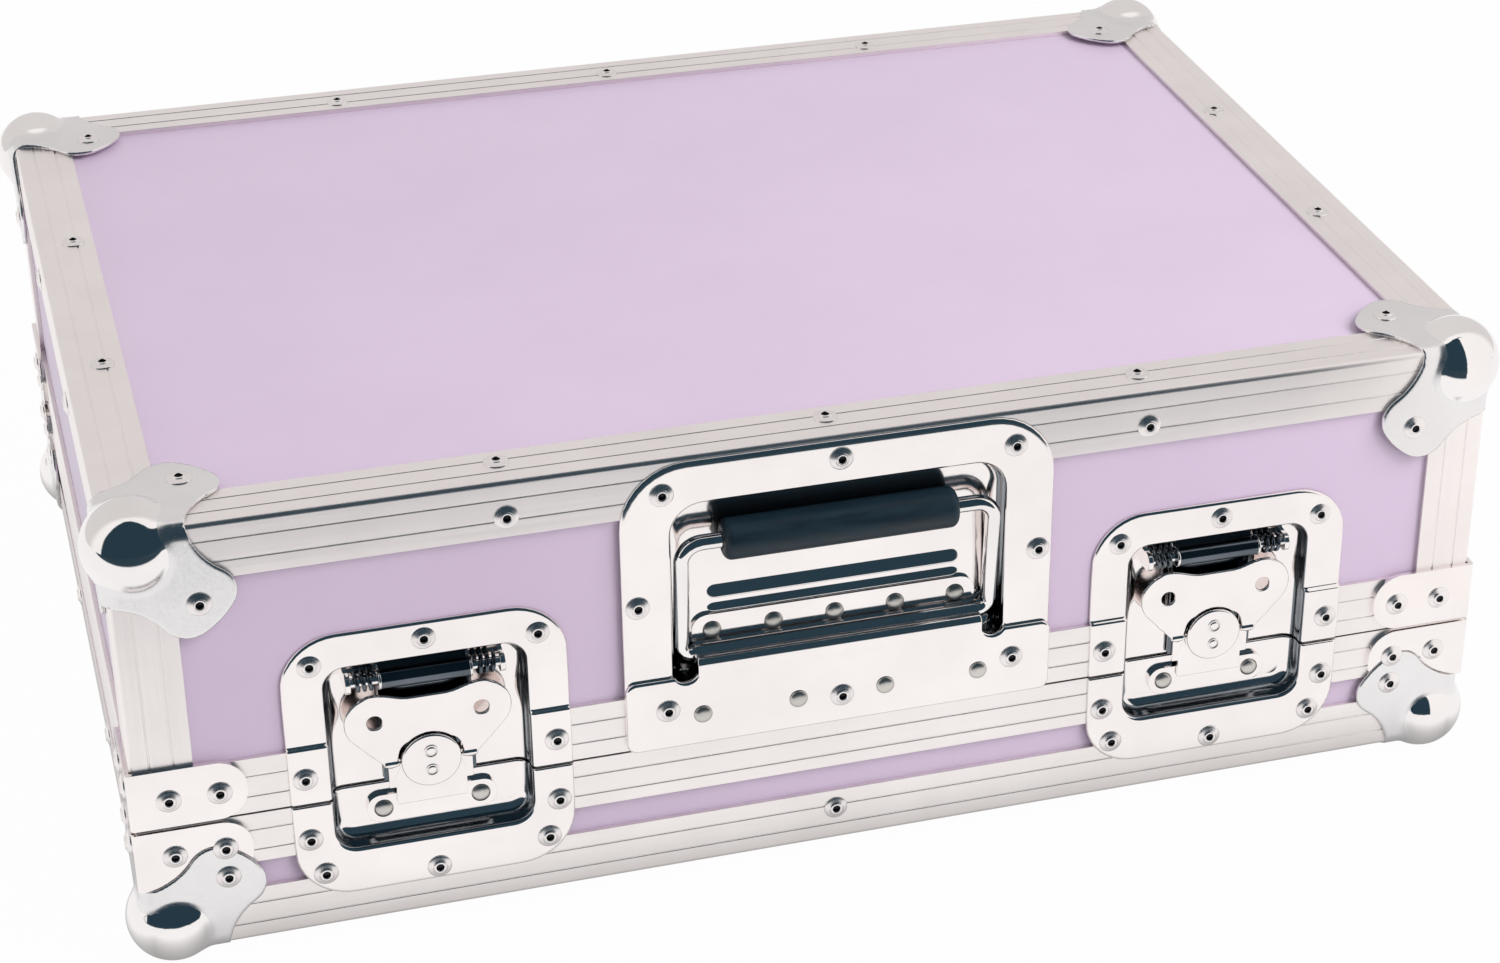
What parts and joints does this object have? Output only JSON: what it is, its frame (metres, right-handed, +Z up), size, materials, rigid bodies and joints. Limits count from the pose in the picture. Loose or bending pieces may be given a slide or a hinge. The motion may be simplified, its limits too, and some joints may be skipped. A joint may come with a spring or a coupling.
{
  "type": "flight case",
  "caption": "Low flight case with lilac panels in aluminium edge profiles, ball corners, a rear-hinged lid, a recessed sprung handle and butterfly latches on the front.",
  "frame": {"origin": "middle of the case on the surface that its four lower ball corners stand on", "axes": "+X to the right along the front, +Y from the front to the back, +Z up"},
  "size_m": [0.5342, 0.3872, 0.1902],
  "materials": {
    "panel": "plywood with a satin lilac laminate",
    "profile": "satin anodised",
    "corner": "bright zinc",
    "dish": "bright zinc",
    "mechanism": "bright zinc",
    "spring": "bright wire",
    "hinge": "bright zinc",
    "rivet": "bright",
    "grip": "smooth, matt",
    "foam": "open-cell foam"
  },
  "bodies": {
    "base": {"base_ball_corners": "corner", "base_braces": "corner", "base_corner_angles": "profile", "base_edge_back": "profile", "base_edge_front": "profile", "base_edge_left": "profile", "base_edge_right": "profile", "base_foam": "foam", "base_panel_back": "panel", "base_panel_bottom": "panel", "base_panel_front": "panel", "base_panel_left": "panel", "base_panel_right": "panel", "base_rim_back": "profile", "base_rim_front": "profile", "base_rim_left": "profile", "base_rim_right": "profile", "base_rivets": "rivet", "hinge_base_leaves": "hinge", "hinge_pins": "hinge", "latch_keepers": "mechanism", "latch_left_lower_dish": "dish", "latch_right_lower_dish": "dish"},
    "lid": {"handle_dish": "dish", "handle_hinge_plate": "mechanism", "handle_strap": "dish", "hinge_lid_leaves": "hinge", "latch_left_upper_dish": "dish", "latch_pins": "mechanism", "latch_right_upper_dish": "dish", "latch_springs": "spring", "lid_ball_corners": "corner", "lid_braces": "corner", "lid_corner_angles": "profile", "lid_edge_back": "profile", "lid_edge_front": "profile", "lid_edge_left": "profile", "lid_edge_right": "profile", "lid_foam": "foam", "lid_panel_back": "panel", "lid_panel_front": "panel", "lid_panel_left": "panel", "lid_panel_right": "panel", "lid_panel_top": "panel", "lid_rim_back": "profile", "lid_rim_front": "profile", "lid_rim_left": "profile", "lid_rim_right": "profile", "lid_rivets": "rivet"},
    "handle": {"handle_bail": "mechanism", "handle_grip": "grip"},
    "left_carrier": {"latch_left_carrier": "mechanism"},
    "left_hook": {"latch_left_hook": "mechanism"},
    "left_rotor": {"latch_left_rotor": "mechanism"},
    "left_wing": {"latch_left_wing": "mechanism"},
    "right_carrier": {"latch_right_carrier": "mechanism"},
    "right_hook": {"latch_right_hook": "mechanism"},
    "right_rotor": {"latch_right_rotor": "mechanism"},
    "right_wing": {"latch_right_wing": "mechanism"}
  },
  "joints": [
    {"name": "lid_hinge", "type": "hinge", "parent": "base", "child": "lid", "pos_m": [0, 0.1901, 0.0621], "axis": [-1, 0, 0], "range_deg": [0, 100]},
    {"name": "handle_swing", "type": "hinge", "parent": "lid", "child": "handle", "pos_m": [0.0015, -0.1818, 0.0981], "axis": [1, 0, 0], "range_deg": [0, 85], "stiffness_Nm_per_rad": 0.3, "springref_deg": -20.05},
    {"name": "left_latch_swing", "type": "hinge", "parent": "lid", "child": "left_carrier", "pos_m": [-0.153, -0.1831, 0.1081], "axis": [-1, 0, 0], "range_deg": [0, 60], "stiffness_Nm_per_rad": 0.05, "springref_deg": -22.92},
    {"name": "left_latch_turn", "type": "hinge", "parent": "left_carrier", "child": "left_rotor", "pos_m": [-0.153, -0.1865, 0.0721], "axis": [0, -1, 0], "range_deg": [0, 180]},
    {"name": "left_wing_fold", "type": "hinge", "parent": "left_rotor", "child": "left_wing", "pos_m": [-0.153, -0.1846, 0.0721], "axis": [1, 0, 0], "range_deg": [0, 90]},
    {"name": "left_hook_slide", "type": "slide", "parent": "left_carrier", "child": "left_hook", "axis": [0, 0, -1], "range_m": [0, 0.007]},
    {"name": "right_latch_swing", "type": "hinge", "parent": "lid", "child": "right_carrier", "pos_m": [0.153, -0.1831, 0.1081], "axis": [-1, 0, 0], "range_deg": [0, 60], "stiffness_Nm_per_rad": 0.05, "springref_deg": -22.92},
    {"name": "right_latch_turn", "type": "hinge", "parent": "right_carrier", "child": "right_rotor", "pos_m": [0.153, -0.1865, 0.0721], "axis": [0, -1, 0], "range_deg": [0, 180]},
    {"name": "right_wing_fold", "type": "hinge", "parent": "right_rotor", "child": "right_wing", "pos_m": [0.153, -0.1846, 0.0721], "axis": [1, 0, 0], "range_deg": [0, 90]},
    {"name": "right_hook_slide", "type": "slide", "parent": "right_carrier", "child": "right_hook", "axis": [0, 0, -1], "range_m": [0, 0.007]}
  ],
  "couplings": [
    {"joint": "left_wing_fold", "follows": "left_latch_turn", "ratio": 0.5},
    {"joint": "left_hook_slide", "follows": "left_latch_turn", "m_per_rad": 0.002228},
    {"joint": "right_wing_fold", "follows": "right_latch_turn", "ratio": 0.5},
    {"joint": "right_hook_slide", "follows": "right_latch_turn", "m_per_rad": 0.002228}
  ]
}
